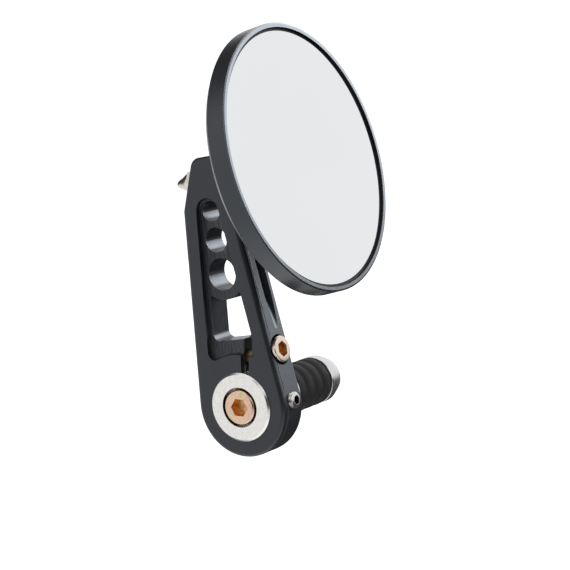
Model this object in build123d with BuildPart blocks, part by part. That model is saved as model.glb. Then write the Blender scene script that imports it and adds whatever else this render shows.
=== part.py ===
"""Bar-end mirror: a slotted clamp arm on a handlebar-end insert, and a round mirror head on a ball stud.

Frame, in millimetres: the origin is on the handlebar's axis at the plane where the bar's end seats on
the insert. +X runs inboard along the bar, +Y points forward, +Z runs up the arm. The glass faces -Y.
"""
from build123d import *
from math import cos, radians, sin, sqrt, tan
import os

os.makedirs("parts", exist_ok=True)

# ---- Clearances shared by the fits ----
RUNNING_FIT = 0.05          # radial, shafts and balls that turn
FREE_GAP = 0.3              # between curved faces that only pass each other
CUT_SPARE = 1.0             # how far a cut starts and ends outside the metal

# ---- Handlebar-end insert ----
BOSS_R = 12.7               # one-inch boss, the same as the bar
SPIGOT_R = 9.5
SPIGOT_LENGTH = 12.0
ARM_TO_BAR_GAP = 0.5
BOSS_PROUD = 0.9            # boss face beyond the arm's outer face
BOSS_CHAMFER = 0.7
COUNTERBORE_GAP = 0.9       # around the bolt head
SPIGOT_CHAMFER = 0.4

# ---- Expander: bolt, washers, rubber sleeve, nut ----
BOLT_R = 4.0
BOLT_HEAD_R = 6.5
BOLT_HEAD_HEIGHT = 8.0
BOLT_HEX = 6.0
BOLT_HEX_DEPTH = 4.0
BOLT_HEAD_PROUD = 0.4       # head beyond the boss face
BOLT_TAIL = 2.5             # thread showing past the nut
BOLT_HEAD_CHAMFER = 0.6
BOLT_END_CHAMFER = 0.8
WASHER_T = 1.0
SLEEVE_LENGTH = 23.0
SLEEVE_GROOVE_WIDTH = 1.6
SLEEVE_GROOVE_DEPTH = 1.0
SLEEVE_GROOVES = 3
NUT_LENGTH = 8.0
NUT_STRAIGHT = 3.2          # before its taper starts
NUT_TAPER = 1.8             # loss of radius over the taper

# ---- Arm ----
ARM_T = 12.7
ARM_EDGE_R = 1.7
CLAMP_WALL = 6.1            # round end about the boss
ARM_TAPER = 6.2             # degrees, each side
ARM_TOP_Z = 91.6
FACET_HEIGHT = 18.4         # from the kink in the forward side up to the top
FACET_LEAN = 22.0           # degrees from vertical
TOP_CORNER_R = 4.0
POCKET_DEPTH = 2.5
POCKET_RIM = 6.15           # rim beside the pocket, out to the arm's full width
POCKET_FLOOR_R = 1.3
POCKET_END_SPARE = 0.4      # lower end beyond the arm's round end
POCKET_FOOT_SHARE = 0.75    # straight sides run down inside the lower end's circle, to this share of it
POCKET_CORNER_R = 2.8
HOLE_DROP = (11.3, 21.9, 34.5)      # below the ball stud's axis
HOLE_R = (3.7, 4.6, 5.9)
POCKET_TOP_R = 5.0          # about the top hole
WINDOW_RISE = 5.6           # lower edge above the clamp screw
WINDOW_TOP_R = 9.4          # about the lowest hole
WINDOW_INSET = 1.4          # inside the pocket's sides
WINDOW_CORNER_R = 2.6
WINDOW_TOP_CORNER_R = 0.87
SLIT_WIDTH = 3.5
SLIT_Y = -4.9               # centre of the slit at its rise above the boss
SLIT_RISE = 2.3
SLIT_LEAN = 9.0             # degrees
GROOVE_R = 2.3
GROOVE_DEPTH = 1.9
GROOVE_OFFSET = 1.4         # towards the inboard face from the arm's middle
GROOVE_START_RISE = 7.7     # above the clamp screw
GROOVE_FULL_RISE = 20.2
GROOVE_END_DROP = 15.1      # below the ball stud's axis
GROOVE_CLEAR = 0.05         # between the cutter and the side where the run-in starts

# ---- Clamp screws ----
PINCH_GAP = 3.1             # between the boss and the screw, at the arm's rear side
PINCH_R = 3.0
PINCH_HEAD_R = 5.0
PINCH_HEAD_HEIGHT = 6.0
PINCH_HEX = 5.0
PINCH_HEX_DEPTH = 3.0
PINCH_HEAD_CHAMFER = 0.5
PINCH_END_CHAMFER = 0.6
PINCH_LENGTH = 25.0
PINCH_PROUD = 1.3
PINCH_HEAD_GAP = 0.6        # counterbore around the head
PINCH_HOLE_SPARE = 1.5
GRUB_R = 3.0
GRUB_HEX = 3.0
GRUB_PROUD = 1.6
GRUB_FACE_CHAMFER = 0.5
GRUB_POINT_CHAMFER = 0.8

# ---- Ball stud and its fixings ----
PIVOT_DROP = 8.5            # stud's axis below the arm's top
BALL_R = 5.0
STUD_REACH = 7.4            # from the washer's seat to the ball
NECK_R = 2.6
STUD_R = 2.5
COLLAR_HEX = 9.0
COLLAR_T = 2.6
REAR_SEAT_DEPTH = 0.68      # spot face for the stud's washer, below the side
FRONT_SEAT_DEPTH = 1.76     # spot face for the cap nut's washer, below the facet
SEAT_GAP = 0.6              # spot faces around their washers
SPOT_FACE_CUT = 12.0        # how far each spot face's cutter clears
STUD_WASHER_R = 5.8
CAP_WASHER_R = 5.0
CAP_HEX = 8.0
CAP_HEX_T = 2.5
CAP_DOME = 6.7
CAP_DOME_STEP = 0.1         # dome's foot inside the hexagon's flats
CAP_PROFILE = ((0.5, 0.62), (0.925, 0.26))     # shares of the dome's height and of half the flats

# ---- Ball race and mirror head, measured from the ball centre along the mirror's axis ----
RACE_WALL = 2.0
RACE_MOUTH = 46.0           # degrees from the stud's axis
RACE_SPLIT_GAP = 0.4
RACE_NOSE_HOLE_R = 2.0
HEAD_TILT = 6.3             # degrees that the glass faces above level
RIM_FRONT = 21.4
RIM_DEPTH = 7.0
RIM_R = 48.4
LIP_WIDTH = 1.7
LIP_CHAMFER = 0.55          # across the lip
LIP_CHAMFER_DEPTH = 0.22    # along the mirror's axis
GLASS_RECESS = 1.0
GLASS_T = 2.0
GLASS_GAP = 1.1             # between the glass and the lip, filled by the seal
PAD_T = 1.0
SEAL_WIDTH = 3.3
SEAL_GAP = 0.4
SEAL_FIT = 0.05             # round the glass and inside the lip
SEAL_DROP = 0.12            # of the seal's visible edge below the glass
CARRIER_T = 1.6
LEDGE_WIDTH = 2.4
SHELL_WALL = 2.2
SHOULDER_OUT = 5.5          # where the back's cone begins, outside the socket boss
SHOULDER_FRONT = 4.6
SHOULDER_RISE = 2.0
BACK_EDGE_DROP = 1.8        # rounding between the rim and the back
BOSS_BACK = -1.0            # rear face of the socket boss
SOCKET_WALL = 7.5
CUP_WALL = 2.4
CUP_FLARE = 1.0             # at the cup's foot
CUP_NOSE = 0.6
CUP_FLAT_R = 4.7
RING_T = 4.0
RING_CHAMFER = 0.6
RING_SCREWS = 4
RING_SCREW_START = 45.0     # degrees
RING_SCREW_R = 1.25
RING_SCREW_HEAD_R = 2.2
RING_SCREW_HEAD_T = 1.8
RING_SCREW_OUT = 4.4        # pitch circle outside the race
RING_SCREW_HEX = 1.9
RING_SCREW_HEX_DEPTH = 1.25
RING_SCREW_LENGTH = 7.0

# ---- Places worked out from the sizes ----
ARM_IN_X = -ARM_TO_BAR_GAP
ARM_OUT_X = ARM_IN_X - ARM_T
ARM_MID_X = (ARM_IN_X + ARM_OUT_X) / 2
BOSS_FACE_X = ARM_OUT_X - BOSS_PROUD
HEAD_FACE_X = BOSS_FACE_X - BOLT_HEAD_PROUD
HEAD_SEAT_X = HEAD_FACE_X + BOLT_HEAD_HEIGHT
COUNTERBORE_R = BOLT_HEAD_R + COUNTERBORE_GAP
COUNTERBORE_FLOOR_X = HEAD_SEAT_X + WASHER_T
HEAD_WASHER_R = COUNTERBORE_R - FREE_GAP
SLEEVE_R = SPIGOT_R - FREE_GAP
NUT_END_R = SLEEVE_R - NUT_TAPER
SLEEVE_START_X = SPIGOT_LENGTH + WASHER_T
SLEEVE_END_X = SLEEVE_START_X + SLEEVE_LENGTH
NUT_START_X = SLEEVE_END_X + WASHER_T
NUT_END_X = NUT_START_X + NUT_LENGTH
ARM_END_R = BOSS_R + CLAMP_WALL
TAPER = tan(radians(ARM_TAPER))
SIDE_AT_AXIS = ARM_END_R / cos(radians(ARM_TAPER))
POCKET_END_R = ARM_END_R + POCKET_END_SPARE
SLIT_Z = BOSS_R + SLIT_RISE
PINCH_Z = BOSS_R + PINCH_GAP + PINCH_R
WINDOW_Z = PINCH_Z + WINDOW_RISE
KINK_Z = ARM_TOP_Z - FACET_HEIGHT
PIVOT_Z = ARM_TOP_Z - PIVOT_DROP
HOLE_Z = [PIVOT_Z - drop for drop in HOLE_DROP]
GROOVE_START_Z = PINCH_Z + GROOVE_START_RISE
GROOVE_FULL_Z = PINCH_Z + GROOVE_FULL_RISE
GROOVE_END_Z = PIVOT_Z - GROOVE_END_DROP
REAR_SEAT_R = STUD_WASHER_R + SEAT_GAP
FRONT_SEAT_R = CAP_WASHER_R + SEAT_GAP
RACE_R = BALL_R + RACE_WALL
SOCKET_BOSS_R = RACE_R + SOCKET_WALL
SHOULDER_R = SOCKET_BOSS_R + SHOULDER_OUT
RING_SCREW_PITCH_R = RACE_R + RING_SCREW_OUT
HEX_ROUND = 2 / sqrt(3)     # corner circle over flats


def side_y(z):
    """Half-width of the arm's tapered outline at height z."""
    return SIDE_AT_AXIS - z * TAPER


def pocket_y(z):
    """Half-width of the pocket at height z."""
    return side_y(z) - POCKET_RIM


def facet_y(z):
    """How far forward the facet above the kink is at height z."""
    return side_y(KINK_Z) - (z - KINK_Z) * tan(radians(FACET_LEAN))


def across(hexagon):
    """Corner radius of a hexagon given across its flats."""
    return hexagon * HEX_ROUND / 2


def turned(points, plane=Plane.XY):
    """A piece turned about the plane's X axis from an outline of (along, radius) points."""
    with BuildPart() as piece:
        with BuildSketch(plane):
            with BuildLine():
                Polyline(*points, close=True)
            make_face()
        revolve(axis=Axis(plane.origin, plane.x_dir))
    return piece


def save(piece, label):
    """Name a finished piece and write its file."""
    piece.part.label = label
    export_step(piece.part, f"parts/{label}.step")


REAR_SEAT_Y = REAR_SEAT_DEPTH - side_y(PIVOT_Z)
FRONT_SEAT_Y = facet_y(PIVOT_Z) - FRONT_SEAT_DEPTH
PIVOT_Y = REAR_SEAT_Y - STUD_REACH - BALL_R

# ================= Insert and expander =================

with BuildPart() as insert:
    with BuildSketch(Plane.XY):
        with BuildLine():
            Polyline(
                (COUNTERBORE_FLOOR_X, BOLT_R + FREE_GAP),
                (COUNTERBORE_FLOOR_X, COUNTERBORE_R),
                (BOSS_FACE_X, COUNTERBORE_R),
                (BOSS_FACE_X, BOSS_R - BOSS_CHAMFER),
                (BOSS_FACE_X + BOSS_CHAMFER, BOSS_R),
                (0, BOSS_R),
                (0, SPIGOT_R),
                (SPIGOT_LENGTH - SPIGOT_CHAMFER, SPIGOT_R),
                (SPIGOT_LENGTH, SPIGOT_R - SPIGOT_CHAMFER),
                (SPIGOT_LENGTH, BOLT_R + FREE_GAP),
                close=True,
            )
        make_face()
    revolve(axis=Axis.X)
save(insert, "bar_insert")


def ring_along_x(label, start, length, outer, inner):
    """A plain washer on the bar axis."""
    with BuildPart() as ring:
        with BuildSketch(Plane.YZ.offset(start)):
            Circle(outer)
            Circle(inner, mode=Mode.SUBTRACT)
        extrude(amount=length)
    save(ring, label)


ring_along_x("bolt_head_washer", HEAD_SEAT_X, WASHER_T, HEAD_WASHER_R, BOLT_R + FREE_GAP)
ring_along_x("spigot_washer", SPIGOT_LENGTH, WASHER_T, SLEEVE_R, BOLT_R + FREE_GAP)
ring_along_x("nut_washer", SLEEVE_END_X, WASHER_T, SLEEVE_R, BOLT_R + FREE_GAP)

with BuildPart() as expander_bolt:
    with BuildSketch(Plane.YZ.offset(HEAD_FACE_X)):
        Circle(BOLT_HEAD_R)
    extrude(amount=BOLT_HEAD_HEIGHT)
    chamfer(expander_bolt.faces().sort_by(Axis.X)[0].edges(), BOLT_HEAD_CHAMFER)
    with BuildSketch(Plane.YZ.offset(HEAD_SEAT_X)):
        Circle(BOLT_R)
    extrude(amount=NUT_END_X + BOLT_TAIL - HEAD_SEAT_X)
    chamfer(expander_bolt.faces().sort_by(Axis.X)[-1].edges(), BOLT_END_CHAMFER)
    with BuildSketch(Plane.YZ.offset(HEAD_FACE_X)):
        RegularPolygon(across(BOLT_HEX), 6)
    extrude(amount=BOLT_HEX_DEPTH, mode=Mode.SUBTRACT)
save(expander_bolt, "expander_bolt")

with BuildPart() as sleeve:
    with BuildSketch(Plane.YZ.offset(SLEEVE_START_X)):
        Circle(SLEEVE_R)
        Circle(BOLT_R + FREE_GAP, mode=Mode.SUBTRACT)
    extrude(amount=SLEEVE_LENGTH)
    for i in range(SLEEVE_GROOVES):
        groove_x = SLEEVE_START_X + SLEEVE_LENGTH * (i + 1) / (SLEEVE_GROOVES + 1)
        with BuildSketch(Plane.YZ.offset(groove_x - SLEEVE_GROOVE_WIDTH / 2)):
            Circle(SLEEVE_R + CUT_SPARE)
            Circle(SLEEVE_R - SLEEVE_GROOVE_DEPTH, mode=Mode.SUBTRACT)
        extrude(amount=SLEEVE_GROOVE_WIDTH, mode=Mode.SUBTRACT)
save(sleeve, "expander_sleeve")

expander_nut = turned([
    (NUT_START_X, BOLT_R + RUNNING_FIT),
    (NUT_START_X, SLEEVE_R),
    (NUT_START_X + NUT_STRAIGHT, SLEEVE_R),
    (NUT_END_X, NUT_END_R),
    (NUT_END_X, BOLT_R + RUNNING_FIT),
])
save(expander_nut, "expander_nut")

# ================= Arm =================

# Both sides meet the round end at a tangent.
tangent_z = ARM_END_R * sin(radians(ARM_TAPER))
tangent_y = ARM_END_R * cos(radians(ARM_TAPER))
pocket_top_z = HOLE_Z[0] + POCKET_TOP_R * sin(radians(ARM_TAPER))
pocket_foot_z = POCKET_END_R * POCKET_FOOT_SHARE
outer_plane = Plane(origin=(ARM_OUT_X, 0, 0), x_dir=(0, 1, 0), z_dir=(1, 0, 0))

pinch_plane = Plane(
    origin=(ARM_MID_X, -side_y(PINCH_Z), PINCH_Z),
    x_dir=(1, 0, 0),
    z_dir=(0, -cos(radians(ARM_TAPER)), sin(radians(ARM_TAPER))),
)
pinch_seat = PINCH_PROUD - PINCH_HEAD_HEIGHT
grub_plane = Plane(origin=(ARM_MID_X, -ARM_END_R, 0), x_dir=(1, 0, 0), z_dir=(0, -1, 0))
grub_depth = CLAMP_WALL - FREE_GAP
stud_plane = Plane(origin=(ARM_MID_X, PIVOT_Y, PIVOT_Z), x_dir=(1, 0, 0), z_dir=(0, 1, 0))


def groove_points(sign):
    """Centres of the groove's round cutter, from its run-in to its full depth and its end."""
    places = (
        (GROOVE_START_Z, GROOVE_R + GROOVE_CLEAR),
        (GROOVE_FULL_Z, GROOVE_R - GROOVE_DEPTH),
        (GROOVE_END_Z, GROOVE_R - GROOVE_DEPTH),
    )
    return [Vector(ARM_MID_X + GROOVE_OFFSET, sign * (side_y(z) + out), z) for z, out in places]


with BuildPart() as arm:
    with BuildSketch(outer_plane):
        with BuildLine():
            ThreePointArc((-tangent_y, tangent_z), (0, -ARM_END_R), (tangent_y, tangent_z))
            Polyline(
                (tangent_y, tangent_z),
                (side_y(KINK_Z), KINK_Z),
                (facet_y(ARM_TOP_Z), ARM_TOP_Z),
                (-side_y(ARM_TOP_Z), ARM_TOP_Z),
                (-tangent_y, tangent_z),
            )
        make_face()
    extrude(amount=ARM_T)
    fillet(arm.edges().filter_by(Axis.X).group_by(Axis.Z)[-1], TOP_CORNER_R)
    fillet(arm.faces().sort_by(Axis.X)[0].edges(), ARM_EDGE_R)
    fillet(arm.faces().sort_by(Axis.X)[-1].edges(), ARM_EDGE_R)
    # Pocket in the outer face, its lower end concentric with the bore
    with BuildSketch(outer_plane) as pocket:
        with BuildLine():
            ThreePointArc(
                (-pocket_y(pocket_top_z), pocket_top_z),
                (0, HOLE_Z[0] + POCKET_TOP_R),
                (pocket_y(pocket_top_z), pocket_top_z),
            )
            Polyline(
                (pocket_y(pocket_top_z), pocket_top_z),
                (pocket_y(pocket_foot_z), pocket_foot_z),
                (-pocket_y(pocket_foot_z), pocket_foot_z),
                (-pocket_y(pocket_top_z), pocket_top_z),
            )
        make_face()
        Circle(POCKET_END_R, mode=Mode.SUBTRACT)
        fillet(pocket.vertices().group_by(Axis.Y)[0], POCKET_CORNER_R)
    extrude(amount=POCKET_DEPTH, mode=Mode.SUBTRACT)
    floor = arm.faces().filter_by(Axis.X).group_by(Axis.X)[1]
    fillet(floor.edges(), POCKET_FLOOR_R)
    # Through holes up the middle
    for z, radius in zip(HOLE_Z, HOLE_R):
        with BuildSketch(outer_plane):
            with Locations((0, z)):
                Circle(radius)
        extrude(amount=ARM_T, mode=Mode.SUBTRACT)
    # Window, its upper edge concentric with the lowest hole
    with BuildSketch(outer_plane) as window:
        with BuildLine():
            Polyline(
                (-pocket_y(WINDOW_Z) + WINDOW_INSET, WINDOW_Z),
                (pocket_y(WINDOW_Z) - WINDOW_INSET, WINDOW_Z),
                (pocket_y(HOLE_Z[2]) - WINDOW_INSET, HOLE_Z[2]),
                (-pocket_y(HOLE_Z[2]) + WINDOW_INSET, HOLE_Z[2]),
                close=True,
            )
        make_face()
        with Locations((0, HOLE_Z[2])):
            Circle(WINDOW_TOP_R, mode=Mode.SUBTRACT)
        fillet(window.vertices().group_by(Axis.Y)[0], WINDOW_CORNER_R)
        fillet(window.vertices().sort_by(Axis.Y)[-2:], WINDOW_TOP_CORNER_R)
    extrude(amount=ARM_T, mode=Mode.SUBTRACT)
    # Bore and the clamp's slit
    with BuildSketch(outer_plane):
        Circle(BOSS_R + RUNNING_FIT)
    extrude(amount=ARM_T, mode=Mode.SUBTRACT)
    with BuildSketch(outer_plane):
        with Locations(Location((SLIT_Y, SLIT_Z), SLIT_LEAN)):
            Rectangle(SLIT_WIDTH, 2 * (WINDOW_Z - SLIT_Z) + CUT_SPARE)
    extrude(amount=ARM_T, mode=Mode.SUBTRACT)
    # Clamp screw: counterbored and clear to the slit, threaded beyond it
    with BuildSketch(pinch_plane.offset(pinch_seat)):
        Circle(PINCH_HEAD_R + PINCH_HEAD_GAP)
    extrude(amount=PINCH_HEAD_HEIGHT, mode=Mode.SUBTRACT)
    with BuildSketch(pinch_plane.offset(pinch_seat)):
        Circle(PINCH_R + RUNNING_FIT)
    extrude(amount=-PINCH_LENGTH - PINCH_HOLE_SPARE, mode=Mode.SUBTRACT)
    # Lock screw, straight into the bore
    with BuildSketch(grub_plane):
        Circle(GRUB_R + RUNNING_FIT)
    extrude(amount=-(CLAMP_WALL + CUT_SPARE), mode=Mode.SUBTRACT)
    # Spot faces and the ball stud's hole
    with BuildSketch(stud_plane.offset(REAR_SEAT_Y - PIVOT_Y)):
        Circle(REAR_SEAT_R)
    extrude(amount=-SPOT_FACE_CUT, mode=Mode.SUBTRACT)
    with BuildSketch(stud_plane.offset(FRONT_SEAT_Y - PIVOT_Y)):
        Circle(FRONT_SEAT_R)
    extrude(amount=SPOT_FACE_CUT, mode=Mode.SUBTRACT)
    with BuildSketch(stud_plane.offset(REAR_SEAT_Y - PIVOT_Y - CUT_SPARE)):
        Circle(STUD_R + RUNNING_FIT)
    extrude(amount=FRONT_SEAT_Y - REAR_SEAT_Y + 2 * CUT_SPARE, mode=Mode.SUBTRACT)
    # Lightening grooves down both sides, each with a run-in that deepens along the arm
    for sign in (-1, 1):
        run_in, full, end = groove_points(sign)
        for start, stop in ((run_in, full), (full, end)):
            with BuildSketch(Plane(origin=start, z_dir=stop - start)):
                Circle(GROOVE_R)
            extrude(amount=(stop - start).length, mode=Mode.SUBTRACT)
        with Locations(full, end):
            Sphere(GROOVE_R, mode=Mode.SUBTRACT)
save(arm, "arm")

# ================= Clamp screws =================

pinch_seat_plane = pinch_plane.offset(pinch_seat)
pinch_axis = Axis(pinch_seat_plane.origin, pinch_seat_plane.z_dir)
with BuildPart() as pinch_bolt:
    with BuildSketch(pinch_seat_plane):
        Circle(PINCH_HEAD_R)
    extrude(amount=PINCH_HEAD_HEIGHT)
    chamfer(pinch_bolt.faces().sort_by(pinch_axis)[-1].edges(), PINCH_HEAD_CHAMFER)
    with BuildSketch(pinch_seat_plane):
        Circle(PINCH_R)
    extrude(amount=-PINCH_LENGTH)
    chamfer(pinch_bolt.faces().sort_by(pinch_axis)[0].edges(), PINCH_END_CHAMFER)
    with BuildSketch(pinch_seat_plane.offset(PINCH_HEAD_HEIGHT)):
        RegularPolygon(across(PINCH_HEX), 6)
    extrude(amount=-PINCH_HEX_DEPTH, mode=Mode.SUBTRACT)
save(pinch_bolt, "pinch_bolt")

with BuildPart() as lock_screw:
    with BuildSketch(grub_plane.offset(GRUB_PROUD)):
        Circle(GRUB_R)
    extrude(amount=-GRUB_PROUD - grub_depth)
    chamfer(lock_screw.faces().sort_by(Axis.Y)[0].edges(), GRUB_FACE_CHAMFER)
    chamfer(lock_screw.faces().sort_by(Axis.Y)[-1].edges(), GRUB_POINT_CHAMFER)
    with BuildSketch(grub_plane.offset(GRUB_PROUD)):
        RegularPolygon(across(GRUB_HEX), 6)
    extrude(amount=-GRUB_HEX, mode=Mode.SUBTRACT)
save(lock_screw, "lock_screw")

# ================= Ball stud and its fixings =================

collar_start_y = REAR_SEAT_Y - WASHER_T - COLLAR_T
cap_start_y = FRONT_SEAT_Y + WASHER_T
stud_end_y = cap_start_y + CAP_HEX_T + STUD_R

with BuildPart() as ball_stud:
    with Locations(stud_plane.origin):
        Sphere(BALL_R)
    with BuildSketch(stud_plane):
        Circle(NECK_R)
    extrude(amount=collar_start_y - PIVOT_Y)
    with BuildSketch(stud_plane.offset(collar_start_y - PIVOT_Y)):
        RegularPolygon(across(COLLAR_HEX), 6)
    extrude(amount=COLLAR_T)
    with BuildSketch(stud_plane.offset(collar_start_y - PIVOT_Y)):
        Circle(STUD_R)
    extrude(amount=stud_end_y - collar_start_y)
save(ball_stud, "ball_stud")


def stud_ring(label, start_y, outer):
    """A plain washer on the ball stud."""
    with BuildPart() as ring:
        with BuildSketch(stud_plane.offset(start_y - PIVOT_Y)):
            Circle(outer)
            Circle(STUD_R + RUNNING_FIT, mode=Mode.SUBTRACT)
        extrude(amount=WASHER_T)
    save(ring, label)


stud_ring("stud_washer", REAR_SEAT_Y - WASHER_T, STUD_WASHER_R)
stud_ring("cap_washer", FRONT_SEAT_Y, CAP_WASHER_R)

cap_section = Plane(origin=stud_plane.origin, x_dir=(0, 1, 0), z_dir=(1, 0, 0))
cap_foot = cap_start_y + CAP_HEX_T - PIVOT_Y
cap_dome_r = CAP_HEX / 2 - CAP_DOME_STEP
cap_sides = [(cap_foot + CAP_DOME * up, CAP_HEX / 2 * out) for up, out in CAP_PROFILE]
with BuildPart() as cap_nut:
    with BuildSketch(stud_plane.offset(cap_start_y - PIVOT_Y)):
        RegularPolygon(across(CAP_HEX), 6)
    extrude(amount=CAP_HEX_T)
    with BuildSketch(cap_section):
        with BuildLine():
            Spline(
                (cap_foot, cap_dome_r),
                *cap_sides,
                (cap_foot + CAP_DOME, 0),
                tangents=((1, -0.1), (0, -1)),
            )
            Polyline(
                (cap_foot + CAP_DOME, 0),
                (cap_foot, 0),
                (cap_foot, cap_dome_r),
            )
        make_face()
    revolve(axis=Axis(cap_section.origin, cap_section.x_dir))
    with BuildSketch(stud_plane.offset(cap_start_y - PIVOT_Y)):
        Circle(STUD_R + RUNNING_FIT)
    extrude(amount=stud_end_y - cap_start_y + RUNNING_FIT, mode=Mode.SUBTRACT)
save(cap_nut, "cap_nut")

# ================= Ball race =================

race_reach = 2 * RACE_R
with BuildPart() as race_front:
    with Locations(stud_plane.origin):
        Sphere(RACE_R)
        Sphere(BALL_R + RUNNING_FIT, mode=Mode.SUBTRACT)
    split(bisect_by=stud_plane.offset(-RACE_SPLIT_GAP / 2), keep=Keep.BOTTOM)
    with BuildSketch(stud_plane):
        Circle(RACE_NOSE_HOLE_R)
    extrude(amount=-race_reach, mode=Mode.SUBTRACT)
save(race_front, "race_front")

with BuildPart() as race_rear:
    with Locations(stud_plane.origin):
        Sphere(RACE_R)
        Sphere(BALL_R + RUNNING_FIT, mode=Mode.SUBTRACT)
    split(bisect_by=stud_plane.offset(RACE_SPLIT_GAP / 2), keep=Keep.TOP)
    with BuildSketch(cap_section):
        with BuildLine():
            Polyline(
                (0, 0),
                (race_reach, race_reach * tan(radians(RACE_MOUTH))),
                (race_reach, 0),
                close=True,
            )
        make_face()
    revolve(axis=Axis(cap_section.origin, cap_section.x_dir), mode=Mode.SUBTRACT)
save(race_rear, "race_rear")

# ================= Mirror head =================

head_plane = Plane(
    origin=stud_plane.origin,
    x_dir=(1, 0, 0),
    z_dir=(0, -cos(radians(HEAD_TILT)), sin(radians(HEAD_TILT))),
)
head_section = Plane(origin=head_plane.origin, x_dir=head_plane.z_dir, z_dir=(1, 0, 0))
lip_r = RIM_R - LIP_WIDTH
glass_r = lip_r - GLASS_GAP
seal_inner_r = glass_r - SEAL_WIDTH
glass_front = RIM_FRONT - GLASS_RECESS
glass_back = glass_front - GLASS_T
pad_back = glass_back - PAD_T
carrier_back = pad_back - CARRIER_T
rim_back = RIM_FRONT - RIM_DEPTH
cone_front = rim_back - BACK_EDGE_DROP
cone_r = RIM_R - BACK_EDGE_DROP
cone_slope = (cone_front - SHOULDER_FRONT) / (cone_r - SHOULDER_R)
ledge_r = lip_r - LEDGE_WIDTH
ledge_inner = SHOULDER_FRONT + (ledge_r - SHOULDER_R) * cone_slope + SHELL_WALL
cup_front = RACE_R + CUP_WALL
ring_back = BOSS_BACK - RING_T
screw_seat = ring_back + RING_SCREW_HEAD_T
screw_tip = screw_seat + RING_SCREW_LENGTH

housing = turned([
    (BOSS_BACK, 0),
    (BOSS_BACK, SOCKET_BOSS_R),
    (SHOULDER_FRONT - SHOULDER_RISE, SOCKET_BOSS_R),
    (SHOULDER_FRONT, SHOULDER_R),
    (cone_front, cone_r),
    (rim_back, RIM_R),
    (RIM_FRONT - LIP_CHAMFER_DEPTH, RIM_R),
    (RIM_FRONT, RIM_R - LIP_CHAMFER),
    (RIM_FRONT, lip_r),
    (carrier_back, lip_r),
    (carrier_back, ledge_r),
    (ledge_inner, ledge_r),
    (SHOULDER_FRONT + SHELL_WALL, SHOULDER_R),
    (SHOULDER_FRONT + SHELL_WALL, cup_front + CUP_FLARE),
    (cup_front + CUP_NOSE, CUP_FLAT_R),
    (cup_front + CUP_NOSE, 0),
], head_section)
with BuildPart() as mirror_housing:
    add(housing.part)
    with Locations(head_plane.origin):
        Sphere(RACE_R + RUNNING_FIT, mode=Mode.SUBTRACT)
    with BuildSketch(head_plane.offset(BOSS_BACK)):
        with PolarLocations(RING_SCREW_PITCH_R, RING_SCREWS, start_angle=RING_SCREW_START):
            Circle(RING_SCREW_R + RUNNING_FIT)
    extrude(amount=screw_tip - BOSS_BACK + FREE_GAP, mode=Mode.SUBTRACT)
save(mirror_housing, "mirror_housing")

with BuildPart() as socket_ring:
    with BuildSketch(head_plane.offset(ring_back)):
        Circle(SOCKET_BOSS_R)
    extrude(amount=RING_T)
    chamfer(socket_ring.edges().sort_by(Axis(head_plane.origin, head_plane.z_dir))[0], RING_CHAMFER)
    with Locations(head_plane.origin):
        Sphere(RACE_R + RUNNING_FIT, mode=Mode.SUBTRACT)
    with BuildSketch(head_plane.offset(ring_back)):
        with PolarLocations(RING_SCREW_PITCH_R, RING_SCREWS, start_angle=RING_SCREW_START):
            Circle(RING_SCREW_R + RUNNING_FIT)
    extrude(amount=RING_T, mode=Mode.SUBTRACT)
    with BuildSketch(head_plane.offset(ring_back)):
        with PolarLocations(RING_SCREW_PITCH_R, RING_SCREWS, start_angle=RING_SCREW_START):
            Circle(RING_SCREW_HEAD_R + FREE_GAP / 2)
    extrude(amount=RING_SCREW_HEAD_T, mode=Mode.SUBTRACT)
save(socket_ring, "socket_ring")

with BuildPart() as ring_screws:
    with BuildSketch(head_plane.offset(ring_back)):
        with PolarLocations(RING_SCREW_PITCH_R, RING_SCREWS, start_angle=RING_SCREW_START):
            Circle(RING_SCREW_HEAD_R)
    extrude(amount=RING_SCREW_HEAD_T)
    with BuildSketch(head_plane.offset(screw_seat)):
        with PolarLocations(RING_SCREW_PITCH_R, RING_SCREWS, start_angle=RING_SCREW_START):
            Circle(RING_SCREW_R)
    extrude(amount=RING_SCREW_LENGTH)
    with BuildSketch(head_plane.offset(ring_back)):
        with PolarLocations(RING_SCREW_PITCH_R, RING_SCREWS, start_angle=RING_SCREW_START):
            RegularPolygon(across(RING_SCREW_HEX), 6)
    extrude(amount=RING_SCREW_HEX_DEPTH, mode=Mode.SUBTRACT)
save(ring_screws, "ring_screws")


def head_disc(label, back, front, outer, inner=0.0):
    """A flat disc or ring across the mirror's axis."""
    with BuildPart() as disc:
        with BuildSketch(head_plane.offset(back)):
            Circle(outer)
            if inner:
                Circle(inner, mode=Mode.SUBTRACT)
        extrude(amount=front - back)
    save(disc, label)


head_disc("carrier_plate", carrier_back, pad_back, glass_r)
head_disc("adhesive_pad", pad_back, glass_back, seal_inner_r - SEAL_GAP)
head_disc("mirror_glass", glass_back, glass_front, glass_r)

# The seal lies behind the glass and comes up round its edge
seal = turned([
    (pad_back, seal_inner_r),
    (pad_back, lip_r - SEAL_FIT),
    (glass_front - SEAL_DROP, lip_r - SEAL_FIT),
    (glass_front - SEAL_DROP, glass_r + SEAL_FIT),
    (glass_back, glass_r + SEAL_FIT),
    (glass_back, seal_inner_r),
], head_section)
save(seal, "glass_seal")
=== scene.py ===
"""Looks for the bar-end mirror: camera, studio, materials and the detailed pieces round the CAD frame.

Metres. +X runs inboard along the handlebar, +Y forward, +Z up the arm; the glass faces -Y.
"""
import bpy
import bmesh
import numpy as np
from math import cos, pi, radians, sin
from mathutils import Matrix, Vector


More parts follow.
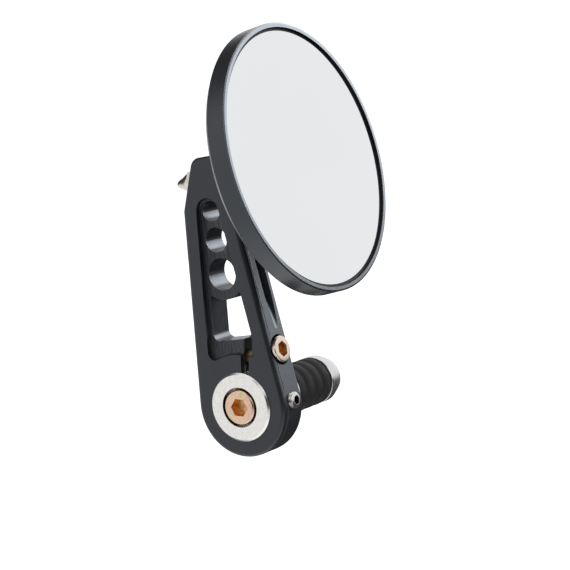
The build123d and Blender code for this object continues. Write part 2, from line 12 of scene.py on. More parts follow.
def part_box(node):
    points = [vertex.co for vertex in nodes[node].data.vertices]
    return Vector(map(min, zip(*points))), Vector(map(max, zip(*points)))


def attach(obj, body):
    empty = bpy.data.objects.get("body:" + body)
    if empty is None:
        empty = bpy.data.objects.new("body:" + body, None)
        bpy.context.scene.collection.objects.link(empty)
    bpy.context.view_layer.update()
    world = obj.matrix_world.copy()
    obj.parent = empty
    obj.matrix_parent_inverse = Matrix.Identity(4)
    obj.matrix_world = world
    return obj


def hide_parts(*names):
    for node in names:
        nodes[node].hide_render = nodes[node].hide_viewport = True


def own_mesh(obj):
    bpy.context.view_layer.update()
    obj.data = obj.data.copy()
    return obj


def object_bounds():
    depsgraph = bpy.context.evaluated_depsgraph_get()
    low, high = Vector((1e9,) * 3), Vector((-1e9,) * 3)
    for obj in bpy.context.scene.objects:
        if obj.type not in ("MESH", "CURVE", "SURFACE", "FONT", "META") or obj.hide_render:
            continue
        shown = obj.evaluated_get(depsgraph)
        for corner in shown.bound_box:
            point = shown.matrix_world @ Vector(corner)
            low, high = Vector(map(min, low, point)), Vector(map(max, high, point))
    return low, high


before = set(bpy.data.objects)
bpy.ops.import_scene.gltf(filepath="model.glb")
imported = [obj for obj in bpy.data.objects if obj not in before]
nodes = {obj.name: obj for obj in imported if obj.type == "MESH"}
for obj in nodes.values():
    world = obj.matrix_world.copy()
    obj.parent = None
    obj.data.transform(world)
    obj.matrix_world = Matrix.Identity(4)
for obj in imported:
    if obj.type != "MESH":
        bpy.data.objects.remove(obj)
cad_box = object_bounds()

MM = 0.001
UM = 0.001 * MM
X_AXIS = Vector((1, 0, 0))
Y_AXIS = Vector((0, 1, 0))
Z_AXIS = Vector((0, 0, 1))

# ---- Camera ----
VIEW_AZIMUTH = radians(-56.30)      # 0 looks along +Y
VIEW_ELEVATION = radians(4.02)
VIEW_ROLL = radians(9.68)
VIEW_TARGET = Vector((0.0021, -0.0177, 0.0409))
VIEW_DISTANCE = 0.6534
SENSOR = 36.0                       # millimetres, as the lens
LENS = 113.7
NEAR_CLIP = 0.01
FAR_CLIP = 50.0

# ---- Studio ----
BACKDROP = 1.12                     # brightness of the white backdrop
SURROUND = 1.08                     # brightness of the white surround that lights the object
CAMERA_SIDE = ((0.54, 0.86), 0.95)  # cosines where the dark open side starts and is full, and how dark
CAMERA_SIDE_HEIGHT = (0.20, 0.40)   # how far it reaches above and below the horizon
INBOARD_SIDE = Vector((0.83, -0.55, 0))
# Dark ground inboard: cosines inboard, cosines down, how dark.
UNDER_SIDE = ((0.05, 0.40), (0.04, 0.18), 0.93)
OVERHEAD = (Vector((0.19, 0.83, 0.50)), (0.74, 0.93), 0.93)   # dark patch: direction, cosines, how dark
GROUND_GLOW = ((0.55, 0.85), 1.3)   # bright ground straight below: cosines, how many times the surround
SURROUND_COLOUR = (0.985, 0.99, 1)
WALL_LIGHT = 5.9                    # radiance of the bright wall on the inboard side
WALL_COLOUR = (0.88, 0.93, 1.0)
WALL_PLACE = (1.20, -0.80, 0.66)
WALL_SIZE = (1.9, 1.0)
WALL_TAKERS = ("arm", "mirror_housing", "socket_ring")
FLOOR_DROP = 0.16                   # below the object at rest, as the head can swing to below the bar
FLOOR_SIZE = 8.0
FLOOR_WHITE = (0.93, 0.93, 0.93)
FLOOR_GLOW = 0.5

# ---- Detail ----
SHARP_EDGE = radians(32)
ROUND = 96                          # points round a turned piece
KNURL_POINTS = 4                    # points for each ridge of a knurl
HEX_SIDES = 6
BOLT_WASHER_BORE = 4.2 * MM         # bores are radii
STUD_WASHER_BORE = 2.65 * MM
SLEEVE_BORE = 4.6 * MM
SLEEVE_RIBS = 4
RIB_POINTS = 12                     # points along each rib
GROOVE_DEPTH = 0.9 * MM
SLEEVE_END_DROP = 0.35 * MM
NOISE_RANGE = (0.3, 0.7)            # where most of a noise's values lie

# ---- Finish ----
COOL_TINT = (0.87, 0.93, 1.0, 1)    # of the light that black anodising reflects
CUTTER_MARKS = (400, 1150, 42)      # noise scales along X, Y and Z: short across the arm, long up it
CUTTER_DEPTH = 0.75 * MM
FLOOR_FADE = (0.12 * MM, 0.40 * MM)      # off the pocket's floor
LATHE_SCRATCHES = ((300, 4200, 420), (300, 380, 3600))
SOCKET_FADE = (0.12 * MM, 0.50 * MM)     # into a screw's socket
SHANK_FADE = (8.6 * MM, 9.0 * MM)        # along a cap screw, behind its head, where painted shade darkens the shank
# painted shade for the shank deep in the clamp, where the light is blocked
SHADED_SHANK_COLOUR = (0.20, 0.14, 0.07)
SILVER = (0.82, 0.79, 0.74)
STEEL = (0.66, 0.65, 0.63)
YELLOW_ZINC = (
    (0.30, (0.50, 0.44, 0.22)), (0.41, (0.66, 0.50, 0.30)), (0.48, (0.70, 0.48, 0.37)),
    (0.55, (0.67, 0.43, 0.35)), (0.62, (0.55, 0.51, 0.31)), (0.74, (0.65, 0.39, 0.23)),
)
CLEAR_ZINC = ((0.3, (0.62, 0.63, 0.65)), (0.5, (0.72, 0.73, 0.74)), (0.7, (0.66, 0.66, 0.69)))
# painted bounce light: deeper orange inside a screw's socket, in place of light reflected round the recess
SOCKET_BOUNCE_ZINC = ((0.3, (0.66, 0.30, 0.07)), (0.7, (0.95, 0.66, 0.36)))


# =====================================================================
# Materials
# =====================================================================

def shade(colour, factor):
    """A colour made darker or lighter."""
    return tuple(c * factor for c in colour)


class Paint:
    """A Principled material whose node graph is built up call by call, in the piece's own coordinates."""

    def __init__(self, name, base, metallic, roughness, **sockets):
        self.material = bpy.data.materials.new(name)
        self.material.use_nodes = True
        self.tree = self.material.node_tree
        self.shader = self.tree.nodes["Principled BSDF"]
        self.shader.inputs["Base Color"].default_value = (*base, 1)
        self.shader.inputs["Metallic"].default_value = metallic
        self.shader.inputs["Roughness"].default_value = roughness
        for socket, value in sockets.items():
            self.shader.inputs[socket.replace("_", " ")].default_value = value
        self.place = self.node("ShaderNodeTexCoord").outputs["Object"]
        self.normal = None

    def node(self, kind, **settings):
        made = self.tree.nodes.new(kind)
        for key, value in settings.items():
            setattr(made, key, value)
        return made

    def link(self, out, into):
        self.tree.links.new(out, into)

    def math(self, operation, first, second=0.0):
        made = self.node("ShaderNodeMath", operation=operation)
        for socket, value in zip(made.inputs, (first, second)):
            if isinstance(value, (int, float)):
                socket.default_value = value
            else:
                self.link(value, socket)
        return made.outputs[0]

    def stretched(self, scale):
        """The piece's coordinates, scaled along each axis."""
        made = self.node("ShaderNodeMapping")
        made.inputs["Scale"].default_value = scale
        self.link(self.place, made.inputs["Vector"])
        return made.outputs[0]

    def noise(self, scale, detail=3.0, rough=0.55, vector=None):
        made = self.node("ShaderNodeTexNoise")
        made.inputs["Scale"].default_value = scale
        made.inputs["Detail"].default_value = detail
        made.inputs["Roughness"].default_value = rough
        self.link(vector or self.place, made.inputs["Vector"])
        return made.outputs["Fac"]

    def split(self):
        """The piece's coordinates, one by one."""
        made = self.node("ShaderNodeSeparateXYZ")
        self.link(self.place, made.inputs[0])
        return made.outputs

    def spread(self, value, low, high, to_low=0.0, to_high=1.0):
        """A value mapped from one range to another, and held at its ends."""
        made = self.node("ShaderNodeMapRange")
        made.inputs["From Min"].default_value = low
        made.inputs["From Max"].default_value = high
        made.inputs["To Min"].default_value = to_low
        made.inputs["To Max"].default_value = to_high
        self.link(value, made.inputs["Value"])
        return made.outputs[0]

    def colours(self, value, stops):
        """A colour ramp from (place, colour) stops."""
        made = self.node("ShaderNodeValToRGB")
        ramp = made.color_ramp
        while len(ramp.elements) < len(stops):
            ramp.elements.new(0.5)
        for element, (place, colour) in zip(ramp.elements, stops):
            element.position = place
            element.color = (*colour, 1)
        self.link(value, made.inputs[0])
        return made.outputs[0]

    def paint(self, colour):
        self.link(colour, self.shader.inputs["Base Color"])

    def gloss(self, value, low, high):
        """Roughness from low to high over a noise's range."""
        self.link(self.spread(value, *NOISE_RANGE, low, high), self.shader.inputs["Roughness"])

    def bump(self, height, depth):
        """Adds a bump of this depth in metres to those that are there."""
        made = self.node("ShaderNodeBump")
        made.inputs["Strength"].default_value = 1.0
        made.inputs["Distance"].default_value = depth
        self.link(height, made.inputs["Height"])
        if self.normal is not None:
            self.link(self.normal, made.inputs["Normal"])
        self.normal = made.outputs[0]
        self.link(self.normal, self.shader.inputs["Normal"])

    def along(self, start, axis):
        """How far along an axis a point is, and how far off it."""
        def step(operation, first, second):
            made = self.node("ShaderNodeVectorMath", operation=operation)
            for socket, value in zip(made.inputs, (first, second)):
                if isinstance(value, Vector):
                    socket.default_value = value
                else:
                    self.link(value, socket)
            return made

        from_start = step("SUBTRACT", self.place, start).outputs[0]
        depth = step("DOT_PRODUCT", from_start, axis).outputs["Value"]
        off = self.node("ShaderNodeVectorMath", operation="LENGTH")
        self.link(step("CROSS_PRODUCT", from_start, axis).outputs[0], off.inputs[0])
        return depth, off.outputs["Value"]

    def mixed(self, share, first, second):
        """A colour between two, each a socket or a plain colour."""
        made = self.node("ShaderNodeMix", data_type="RGBA")
        self.link(share, made.inputs["Factor"])
        colour_sockets = made.inputs[6:8]
        for socket, value in zip(colour_sockets, (first, second)):
            if isinstance(value, tuple):
                socket.default_value = (*value, 1)
            else:
                self.link(value, socket)
        return made.outputs[2]

    def radius(self, first, second):
        """Distance from an axis, from the two coordinates across it."""
        squares = [self.math("MULTIPLY", value, value) for value in (first, second)]
        return self.math("SQRT", self.math("ADD", *squares))


def anodised(name, base, rough=(0.27, 0.36), ior=1.52, floor_x=None):
    """Satin black anodising over blasted aluminium; where a floor is given, it shows the cutter's marks."""
    paint = Paint(name, base, 0.0, 0.3, IOR=ior, Specular_Tint=COOL_TINT)
    low, high = NOISE_RANGE
    colour = paint.colours(paint.noise(70, 4), [(low, shade(base, 0.82)), (high, shade(base, 1.25))])
    paint.gloss(paint.noise(140, 3), *rough)
    paint.bump(paint.noise(5200, 2), 4.5 * UM)
    if floor_x is not None:
        off_floor = paint.math("ABSOLUTE", paint.math("SUBTRACT", paint.split()["X"], floor_x))
        on_floor = paint.spread(off_floor, *FLOOR_FADE, 1, 0)
        marks = paint.noise(1, 2, 0.6, paint.stretched(CUTTER_MARKS))
        paint.bump(paint.math("MULTIPLY", marks, on_floor), CUTTER_DEPTH)
        colour = paint.mixed(on_floor, colour, shade(base, 2.2))
    paint.paint(colour)
    return paint.material


def turned_face(name, base, rough, pitch=160 * UM):
    """Metal turned about the handlebar's axis: fine rings, scratches across them and small dull spots."""
    paint = Paint(name, base, 1.0, sum(rough) / 2)
    axes = paint.split()
    radius = paint.radius(axes["Y"], axes["Z"])
    paint.gloss(paint.noise(90, 3), *rough)
    rings = paint.math("SINE", paint.math("MULTIPLY", radius, 2 * pi / pitch))
    paint.bump(rings, 2.2 * UM)
    for scale in LATHE_SCRATCHES:
        paint.bump(paint.noise(1, 2, 0.7, paint.stretched(scale)), 7.5 * UM)
    spots = paint.noise(700, 4, 0.75)
    paint.paint(paint.colours(spots, [(0.3, shade(base, 0.86)), (0.62, base)]))
    return paint.material


def socket_mask(paint, socket):
    """One inside a screw's hexagon socket, which is given by its face, its axis and its corner radius. Where
    it is one, zinc gets painted bounce light and plain metal gets painted shade.
    """
    face, axis, corner = socket
    depth, off = paint.along(face, axis)
    sunk = paint.spread(depth, *SOCKET_FADE)
    return paint.math("MULTIPLY", sunk, paint.spread(off, corner, corner * 1.03, 1, 0))


def zinc(name, stops, socket=None, pale=0.0):
    """Chromated zinc in clouds of interference colours, pale ones nearer silver.

    Where a socket is given, painted bounce light deepens the colour inside it, and painted shade darkens the
    shank behind the head, which is also rougher.
    """
    stops = [
        (place, tuple(c + (bright - c) * pale for c, bright in zip(colour, SILVER)))
        for place, colour in stops
    ]
    paint = Paint(name, stops[1][1], 1.0, 0.25)
    colour = paint.colours(paint.noise(230, 3, 0.55), stops)
    rough = paint.spread(paint.noise(900, 3), *NOISE_RANGE, 0.17, 0.34)
    if socket is not None:
        inside = socket_mask(paint, socket)
        # painted bounce light inside the socket
        colour = paint.mixed(inside, colour, paint.colours(paint.noise(700, 2), SOCKET_BOUNCE_ZINC))
        rough = paint.math("ADD", rough, paint.math("MULTIPLY", inside, 0.16))
        face, axis = socket[:2]
        # painted shade along the shank behind the head
        shank = paint.spread(paint.along(face, axis)[0], *SHANK_FADE)
        colour = paint.mixed(shank, colour, SHADED_SHANK_COLOUR)
        rough = paint.math("ADD", rough, paint.math("MULTIPLY", shank, 0.22))
    paint.paint(colour)
    paint.link(rough, paint.shader.inputs["Roughness"])
    paint.bump(paint.noise(6500, 2), 4 * UM)
    return paint.material


def metal(name, base, rough, grain=2400, depth=4 * UM, socket=None):
    """Plain metal with a fine grain, and painted shade inside a screw's socket."""
    paint = Paint(name, base, 1.0, sum(rough) / 2)
    low, high = NOISE_RANGE
    colour = paint.colours(paint.noise(150, 3), [(low, shade(base, 0.93)), (high, base)])
    if socket is not None:
        # painted shade inside the socket
        colour = paint.mixed(socket_mask(paint, socket), colour, shade(base, 0.22))
    paint.paint(colour)
    paint.gloss(paint.noise(260, 3), *rough)
    paint.bump(paint.noise(grain, 2, 0.6), depth)
    return paint.material


def moulded(name, base, rough, grain=2600, depth=8 * UM, cloudy=0.2):
    """Moulded plastic, rubber or foam: a fine skin texture and a little mottling."""
    paint = Paint(name, base, 0.0, sum(rough) / 2, IOR=1.5)
    low, high = NOISE_RANGE
    paint.paint(paint.colours(paint.noise(120, 4), [
        (low, shade(base, 1 - cloudy)), (high, shade(base, 1 + cloudy)),
    ]))
    paint.gloss(paint.noise(300, 3), *rough)
    paint.bump(paint.noise(grain, 3), depth)
    return paint.material


def silvered(name, base, dull, bright):
    """The mirror's glass, very slightly uneven."""
    paint = Paint(name, base, 1.0, 0.012)
    paint.paint(paint.colours(paint.noise(14, 2), [(0.35, dull), (0.65, bright)]))
    paint.gloss(paint.noise(500, 2), 0.008, 0.02)
    return paint.material


POCKET_DEPTH = 2.5 * MM
POCKET_FLOOR_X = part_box("arm")[0].x + POCKET_DEPTH

LOOKS = {
    "arm": anodised("arm_anodised", (0.0180, 0.0187, 0.0210), floor_x=POCKET_FLOOR_X),
    "housing": anodised("housing_satin", (0.0145, 0.0152, 0.0175), (0.24, 0.32), ior=1.6),
    "turned": turned_face("turned_aluminium", (0.775, 0.76, 0.725), (0.20, 0.30)),
    "zinc": zinc("clear_zinc", CLEAR_ZINC),
    "rubber": moulded("black_rubber", (0.022, 0.022, 0.023), (0.6, 0.8), 1500, 22 * UM),
    "alloy": turned_face("nut_alloy", (0.70, 0.70, 0.71), (0.28, 0.42), 220 * UM),
    "stainless": metal("stainless", STEEL, (0.2, 0.33)),
    "nickel": metal("nickel_plate", (0.63, 0.595, 0.53), (0.07, 0.16), 1800, 1.2 * UM),
    "race": moulded("race_plastic", (0.025, 0.025, 0.027), (0.38, 0.5)),
    "carrier": moulded("carrier_plastic", (0.03, 0.03, 0.032), (0.45, 0.6), 1800, 20 * UM),
    "foam": moulded("foam", (0.05, 0.05, 0.052), (0.8, 0.95), 3800, 60 * UM, 0.35),
    "seal": moulded("seal_rubber", (0.012, 0.012, 0.013), (0.42, 0.55)),
    "glass": silvered(
        "mirror_silver", (0.705, 0.715, 0.72), (0.742, 0.751, 0.757), (0.748, 0.758, 0.764)
    ),
}


# =====================================================================
# Mesh tools
# =====================================================================

def circle(radius):
    return lambda angle: radius


def hexagon(flats):
    """Radius of a hexagon, from its width across the flats."""
    def radius(angle):
        off_flat = (angle + pi / HEX_SIDES) % (2 * pi / HEX_SIDES) - pi / HEX_SIDES
        return flats / 2 / cos(off_flat)
    return radius


def knurl(radius, depth, count):
    """Straight knurling with rounded ridges."""
    return lambda angle: radius - depth * (0.5 - 0.5 * cos(count * angle)) ** 0.7


def thread(radius, depth, pitch, z):
    """One ring of a thread: the radius goes up and down once in each pitch, and climbs with the angle."""
    def at(angle):
        turn = (z / pitch - angle / (2 * pi)) % 1.0
        return radius - depth * min(1.0, max(0.0, abs(2 * turn - 1) * 1.25 - 0.1))
    return at


def threaded(radius, pitch, start, end, steps=8):
    """Rings of a threaded length, with plain rings at both ends that close it."""
    depth = 0.58 * pitch
    rings = [(start, circle(radius - depth))]
    count = int((end - start) / pitch * steps)
    for i in range(1, count):
        z = start + (end - start) * i / count
        rings.append((z, thread(radius, depth, pitch, z)))
    rings.append((end, circle(radius - depth)))
    return rings


def placed(work, name):
    """The finished mesh as an object in the scene, smooth but for its sharp edges."""
    mesh = bpy.data.meshes.new(name)
    work.to_mesh(mesh)
    work.free()
    mesh.shade_smooth()
    mesh.set_sharp_from_angle(angle=SHARP_EDGE)
    made = bpy.data.objects.new(name, mesh)
    bpy.context.scene.collection.objects.link(made)
    return made


def lofted(name, rings, around=ROUND):
    """A closed solid through rings of (place along the axis, radius as a function of angle)."""
    work = bmesh.new()
    loops = []
    for z, radius in rings:
        loop = []
        for i in range(around):
            angle = 2 * pi * i / around
            reach = radius(angle)
            loop.append(work.verts.new((reach * cos(angle), reach * sin(angle), z)))
        loops.append(loop)
    for low, high in zip(loops, loops[1:]):
        for i in range(around):
            j = (i + 1) % around
            work.faces.new((low[i], low[j], high[j], high[i]))
    for loop, flip in ((loops[0], True), (loops[-1], False)):
        centre = work.verts.new((0, 0, loop[0].co.z))
        for i in range(around):
            j = (i + 1) % around
            corners = (loop[j], loop[i], centre) if flip else (loop[i], loop[j], centre)
            work.faces.new(corners)
    return placed(work, name)


def hoop(name, outline, around=ROUND * 2):
    """A closed ring turned from an outline of (radius, place along the axis) points, in order round it."""
    work = bmesh.new()
    loops = []
    for i in range(around):
        angle = 2 * pi * i / around
        loops.append([work.verts.new((r * cos(angle), r * sin(angle), z)) for r, z in outline])
    for i in range(around):
        here, there = loops[i], loops[(i + 1) % around]
        for k in range(len(outline)):
            m = (k + 1) % len(outline)
            work.faces.new((here[k], there[k], there[m], here[m]))
    bmesh.ops.recalc_face_normals(work, faces=work.faces)
    return placed(work, name)


def set_along(obj, start, direction, turn=0.0):
    """Moves a piece built along its own Z so that it starts here and runs in this direction.

    The place goes into its mesh.
    """
    spin = Matrix.Rotation(turn, 4, "Z")
    lean = direction.to_track_quat("Z", "Y").to_matrix().to_4x4()
    obj.data.transform(Matrix.Translation(start) @ lean @ spin)
    return obj


def dress(obj, body, look, slot, *replaced):
    """Material, body, and the CAD nodes that the piece stands for; the slot argument is not used."""
    obj.data.materials.clear()
    obj.data.materials.append(LOOKS[look])
    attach(obj, body)
    if replaced:
        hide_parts(*replaced)
    return obj


def paint_node(node, look):
    """A carried-over CAD node takes its finish."""
    mesh_object = nodes[node]
    mesh_object.data.materials.clear()
    mesh_object.data.materials.append(LOOKS[look])


def skin(node):
    """Triangle centres and areas of a CAD node."""
    mesh = nodes[node].data
    mesh.calc_loop_triangles()
    points = np.array([v.co for v in mesh.vertices], float)
    corners = np.array([t.vertices for t in mesh.loop_triangles], int)
    a, b, c = points[corners[:, 0]], points[corners[:, 1]], points[corners[:, 2]]
    area = np.linalg.norm(np.cross(b - a, c - a), axis=1) / 2
    return points, (a + b + c) / 3, area


def centre_line(node, towards, slender=True):
    """A round CAD node's axis: its start, its direction, roughly towards the one given, and its length."""
    points, middles, area = skin(node)
    centre = (middles * area[:, None]).sum(0) / area.sum()
    spread = middles - centre
    vectors = np.linalg.eigh((spread * area[:, None]).T @ spread)[1]
    direction = Vector(vectors[:, 2 if slender else 0])
    if direction.dot(towards) < 0:
        direction = -direction
    along = (points - centre) @ np.array(direction)
    return Vector(centre) + direction * along.min(), direction, along.max() - along.min()


def socket_rings(flats, depth, face_z, rim):
    """The recess of a socket screw, as rings from the middle of its floor out to the rim of its face."""
    floor = face_z + depth
    return [
        (floor + 0.10 * flats, circle(flats * 0.04)),
        (floor, circle(flats * 0.36)),
        (floor, circle(flats * 0.42)),
        (floor, hexagon(flats)),
        (face_z + 0.05 * flats, hexagon(flats)),
        (face_z + 0.015 * flats, hexagon(flats * 1.015)),
        (face_z, hexagon(flats * 1.05)),
        (face_z, circle(rim)),
    ]


def cap_screw(name, head_r, head_h, flats, depth, shank_r, length, pitch, thread_from, knurls):
    """A socket cap screw along +Z with its face at zero: knurled head, plain shank, then thread."""
    ridge = 0.022 * head_r
    rings = socket_rings(flats, depth, 0.0, head_r * 0.885)
    rings += [
        (0.012 * head_r, circle(head_r * 0.925)),
        (0.035 * head_r, circle(head_r * 0.955)),
        (0.080 * head_r, circle(head_r * 0.982)),
        (0.26 * head_r, circle(head_r - ridge)),
        (0.34 * head_r, knurl(head_r, ridge, knurls)),
        (head_h - 0.16 * head_r, knurl(head_r, ridge, knurls)),
        (head_h - 0.12 * head_r, circle(head_r - ridge)),
        (head_h - 0.04 * head_r, circle(head_r - ridge)),
        (head_h, circle(head_r * 0.93)),
        (head_h, circle(shank_r * 1.08)),
        (head_h + 0.08 * shank_r, circle(shank_r)),
        (thread_from, circle(shank_r)),
    ]
    rings += threaded(shank_r, pitch, thread_from + 0.1 * pitch, length - 0.25 * shank_r)
    rings += [(length, circle(shank_r * 0.72))]
    return lofted(name, rings, knurls * KNURL_POINTS)


def washer(name, inner, outer, thick, edge=0.12 * MM):
    return hoop(name, [
        (inner + edge, 0), (outer - edge, 0), (outer, edge), (outer, thick - edge),
        (outer - edge, thick), (inner + edge, thick), (inner, thick - edge), (inner, edge),
    ])


# =====================================================================
# Camera and studio
# =====================================================================

def make_camera():
    """The photograph's view, turned a little about the camera's own axis. Returns the way to the camera."""
    data = bpy.data.cameras.new("camera")
    data.sensor_width = SENSOR
    data.lens = LENS
    data.clip_start = NEAR_CLIP
    data.clip_end = FAR_CLIP
    camera = bpy.data.objects.new("camera", data)
    bpy.context.scene.collection.objects.link(camera)
    back = Vector((
        sin(VIEW_AZIMUTH) * cos(VIEW_ELEVATION),
        -cos(VIEW_AZIMUTH) * cos(VIEW_ELEVATION),
        sin(VIEW_ELEVATION),
    ))
    level = (-back).to_track_quat("-Z", "Y").to_matrix()
    rolled = level @ Matrix.Rotation(-VIEW_ROLL, 3, "Z")
    camera.matrix_world = Matrix.Translation(VIEW_TARGET + back * VIEW_DISTANCE) @ rolled.to_4x4()
    bpy.context.scene.camera = camera
    return back


def make_world(open_side):
    """A white surround, brightest straight below.

    It is dark behind the camera, overhead and on the ground inboard.
    The backdrop that the camera itself sees stays white.
    """
    world = bpy.data.worlds.new("studio")
    bpy.context.scene.world = world
    world.use_nodes = True
    tree = world.node_tree
    where = tree.nodes.new("ShaderNodeTexCoord").outputs["Generated"]

    def towards(direction):
        made = tree.nodes.new("ShaderNodeVectorMath")
        made.operation = "DOT_PRODUCT"
        made.inputs[1].default_value = direction
        tree.links.new(where, made.inputs[0])
        return made.outputs["Value"]

    def fade(value, low, high, to_low, to_high):
        made = tree.nodes.new("ShaderNodeMapRange")
        made.interpolation_type = "SMOOTHSTEP"
        for socket, number in zip(list(made.inputs)[1:5], (low, high, to_low, to_high)):
            socket.default_value = number
        tree.links.new(value, made.inputs[0])
        return made.outputs[0]

    def combine(operation, first, second):
        made = tree.nodes.new("ShaderNodeMath")
        made.operation = operation
        for socket, value in zip(made.inputs, (first, second)):
            if isinstance(value, (int, float)):
                socket.default_value = value
            else:
                tree.links.new(value, socket)
        return made.outputs[0]

    (edge, full), dark = CAMERA_SIDE
    level_side = Vector((open_side.x, open_side.y, 0)).normalized()
    height = combine("ABSOLUTE", towards(Z_AXIS), 0.0)
    in_band = fade(height, *CAMERA_SIDE_HEIGHT, 1, 0)
    open_dark = combine("MULTIPLY", fade(towards(level_side), edge, full, 0, dark), in_band)
    level = combine("MULTIPLY", combine("SUBTRACT", 1.0, open_dark), SURROUND)
    direction, (edge, full), dark = OVERHEAD
    level = combine("MULTIPLY", level, fade(towards(direction.normalized()), edge, full, 1, 1 - dark))
    (edge, full), (high, low), dark = UNDER_SIDE
    inboard = fade(towards(INBOARD_SIDE), edge, full, 0, dark)
    below = fade(towards(-Z_AXIS), high, low, 0, 1)
    level = combine("MULTIPLY", level, combine("SUBTRACT", 1.0, combine("MULTIPLY", inboard, below)))

    (edge, full), glow = GROUND_GLOW
    level = combine("MULTIPLY", level, fade(towards(-Z_AXIS), edge, full, 1, glow))

    shown = tree.nodes["Background"]
    shown.inputs["Color"].default_value = (1, 1, 1, 1)
    shown.inputs["Strength"].default_value = BACKDROP
    lit = tree.nodes.new("ShaderNodeBackground")
    lit.inputs["Color"].default_value = (*SURROUND_COLOUR, 1)
    tree.links.new(level, lit.inputs["Strength"])
    mix = tree.nodes.new("ShaderNodeMixShader")
    tree.links.new(tree.nodes.new("ShaderNodeLightPath").outputs["Is Camera Ray"], mix.inputs[0])
    tree.links.new(lit.outputs[0], mix.inputs[1])
    tree.links.new(shown.outputs[0], mix.inputs[2])
    tree.links.new(mix.outputs[0], tree.nodes["World Output"].inputs["Surface"])


def make_floor():
    """A plain white floor that the object hangs clear of; reflections and bounced light leave it out."""
    work = bmesh.new()
    half = FLOOR_SIZE / 2
    z = cad_box[0].z - FLOOR_DROP
    corners = ((-half, -half), (half, -half), (half, half), (-half, half))
    work.faces.new([work.verts.new((x, y, z)) for x, y in corners])
    floor = placed(work, "floor")
    paint = Paint(
        "floor_white", FLOOR_WHITE, 0.0, 0.9,
        Emission_Color=(1, 1, 1, 1), Emission_Strength=FLOOR_GLOW,
    )
    paint.gloss(paint.noise(2, 2), 0.85, 0.95)
    floor.data.materials.append(paint.material)
    floor.visible_glossy = False
    floor.visible_diffuse = False


def make_wall_light():
    """One large soft light inboard and above, for the black pieces only; it would bleach the bright ones."""
    data = bpy.data.lights.new("wall_light", "AREA")
    data.shape = "RECTANGLE"
    data.size, data.size_y = WALL_SIZE
    data.energy = WALL_LIGHT * pi * WALL_SIZE[0] * WALL_SIZE[1]
    data.color = WALL_COLOUR
    lamp = bpy.data.objects.new("wall_light", data)
    bpy.context.scene.collection.objects.link(lamp)
    lamp.location = WALL_PLACE
    lamp.rotation_mode = "QUATERNION"
    aim = Vector((0, 0, WALL_PLACE[2])) - Vector(WALL_PLACE)
    lamp.rotation_quaternion = aim.to_track_quat("-Z", "Y")
    lamp.visible_camera = False
    takers = bpy.data.collections.new("black_pieces")
    for node in WALL_TAKERS:
        takers.objects.link(nodes[node])
    lamp.light_linking.receiver_collection = takers


open_side = make_camera()
make_world(open_side)
make_floor()
make_wall_light()
bpy.context.scene.view_settings.view_transform = "Standard"

# =====================================================================
# CAD nodes that keep their shape
# =====================================================================

paint_node("arm", "arm")
paint_node("bar_insert", "turned")
paint_node("mirror_housing", "housing")
paint_node("socket_ring", "housing")
paint_node("mirror_glass", "glass")
paint_node("glass_seal", "seal")
paint_node("carrier_plate", "carrier")
paint_node("adhesive_pad", "foam")
paint_node("race_front", "race")
paint_node("race_rear", "race")
paint_node("ball_stud", "stainless")
paint_node("cap_nut", "nickel")
paint_node("expander_nut", "alloy")

# =====================================================================
# Expander: screw, washers, sleeve
# =====================================================================

bolt_low, bolt_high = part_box("expander_bolt")
bolt_face = Vector((bolt_low.x, 0, 0))
bolt = cap_screw(
    "m8_cap_screw", head_r=bolt_high.y, head_h=8.0 * MM, flats=6.0 * MM, depth=4.0 * MM,
    shank_r=4.0 * MM, length=bolt_high.x - bolt_low.x, pitch=1.25 * MM, thread_from=30 * MM, knurls=42,
)
set_along(bolt, bolt_face, X_AXIS, radians(40))
LOOKS["bolt_gold"] = zinc("yellow_zinc_bolt", YELLOW_ZINC, socket=(bolt_face, X_AXIS, 3.5 * MM))
dress(bolt, "expander_screw", "bolt_gold", "yellow_zinc", "expander_bolt")


def washer_for(node, name, bore, body, axis=X_AXIS):
    """A zinc washer with broken edges in place of a CAD washer."""
    start, direction, thick = centre_line(node, axis, slender=False)
    off = skin(node)[0] - np.array(start)
    off -= np.outer(off @ np.array(direction), np.array(direction))
    outer = float(np.linalg.norm(off, axis=1).max())
    made = washer(name, bore, outer, thick)
    set_along(made, start, direction)
    return dress(made, body, "zinc", "zinc_steel", node)


washer_for("bolt_head_washer", "head_washer", BOLT_WASHER_BORE, "insert")
washer_for("spigot_washer", "spigot_end_washer", BOLT_WASHER_BORE, "insert")
washer_for("nut_washer", "nut_end_washer", BOLT_WASHER_BORE, "expander_plug")
washer_for("stud_washer", "ball_stud_washer", STUD_WASHER_BORE, "pivot_stud", Y_AXIS)
washer_for("cap_washer", "cap_nut_washer", STUD_WASHER_BORE, "pivot_stud", Y_AXIS)

sleeve_low, sleeve_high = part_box("expander_sleeve")
SLEEVE_R = sleeve_high.y
SLEEVE_LENGTH = sleeve_high.x - sleeve_low.x


def sleeve_outline():
    """Round-bottomed grooves between bulging ribs."""
    outline = [(SLEEVE_BORE, 0.0)]
    last = SLEEVE_RIBS * RIB_POINTS
    for k in range(last + 1):
        dip = GROOVE_DEPTH * abs(cos(pi * k / RIB_POINTS)) ** 6 if 0 < k < last else SLEEVE_END_DROP
        outline.append((SLEEVE_R - dip, SLEEVE_LENGTH * k / last))
    outline.append((SLEEVE_BORE, SLEEVE_LENGTH))
    return outline


sleeve = hoop("rubber_sleeve", sleeve_outline(), 128)
set_along(sleeve, Vector((sleeve_low.x, 0, 0)), X_AXIS)
dress(sleeve, "insert", "rubber", "black_rubber", "expander_sleeve")
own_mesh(sleeve)

# =====================================================================
# Clamp screws
# =====================================================================

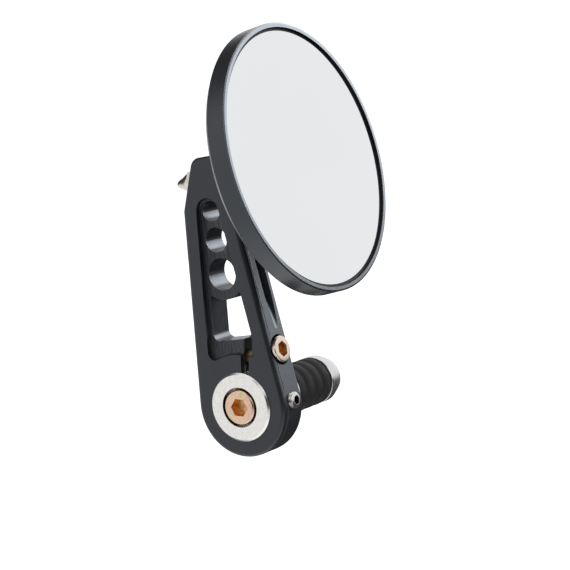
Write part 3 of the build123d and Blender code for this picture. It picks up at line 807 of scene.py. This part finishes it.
pinch_start, pinch_axis, pinch_length = centre_line("pinch_bolt", Y_AXIS)
pinch = cap_screw(
    "m6_clamp_screw", head_r=5.0 * MM, head_h=6.0 * MM, flats=5.0 * MM, depth=3.0 * MM,
    shank_r=3.0 * MM, length=pinch_length, pitch=1.0 * MM, thread_from=16 * MM, knurls=36,
)
set_along(pinch, pinch_start, pinch_axis, radians(14))
LOOKS["clamp_gold"] = zinc(
    "yellow_zinc_clamp", YELLOW_ZINC, socket=(pinch_start, pinch_axis, 2.95 * MM), pale=0.5
)
dress(pinch, "clamp_arm", "clamp_gold", "yellow_zinc", "pinch_bolt")

grub_start, grub_axis, grub_length = centre_line("lock_screw", Y_AXIS)
grub_rings = socket_rings(flats=3.0 * MM, depth=2.6 * MM, face_z=0.0, rim=2.15 * MM)
grub_rings += [(0.08 * MM, circle(2.30 * MM))]
grub_rings += threaded(
    radius=3.0 * MM, pitch=0.85 * MM, start=0.2 * MM, end=grub_length - 0.7 * MM, steps=10
)
grub_rings += [(grub_length, circle(1.9 * MM))]
grub = lofted("m6_set_screw", grub_rings)
set_along(grub, grub_start, grub_axis, radians(20))
LOOKS["set_screw"] = metal(
    "set_screw_steel", STEEL, (0.16, 0.28), depth=3 * UM, socket=(grub_start, grub_axis, 1.80 * MM)
)
dress(grub, "clamp_arm", "set_screw", "stainless", "lock_screw")

# =====================================================================
# Socket ring screws on the head's back
# =====================================================================

ring_middles, ring_area = skin("ring_screws")[1:]
glass_axis = centre_line("mirror_glass", Y_AXIS, slender=False)[1]
ring_centre = (ring_middles * ring_area[:, None]).sum(0) / ring_area.sum()
head_up = X_AXIS.cross(glass_axis).normalized()
on_side = np.sign((ring_middles - ring_centre) @ np.array(X_AXIS))
on_top = np.sign((ring_middles - ring_centre) @ np.array(head_up))
for number, (side, up) in enumerate(((1, 1), (-1, 1), (-1, -1), (1, -1)), start=1):
    mine = (on_side == side) & (on_top == up)
    middle = (ring_middles[mine] * ring_area[mine, None]).sum(0) / ring_area[mine].sum()
    reach = (ring_middles[mine] - middle) @ np.array(glass_axis)
    screw = cap_screw(
        f"ring_screw_{number}", head_r=2.2 * MM, head_h=1.8 * MM, flats=2.0 * MM, depth=1.0 * MM,
        shank_r=1.25 * MM, length=float(reach.max() - reach.min()), pitch=0.45 * MM,
        thread_from=2.4 * MM, knurls=24,
    )
    start = Vector(middle) + glass_axis * float(reach.max())
    set_along(screw, start, -glass_axis, radians(25 * number - 15))
    stands_for = ["ring_screws"] if number == 1 else []
    dress(screw, "mirror_head", "stainless", "stainless", *stands_for)
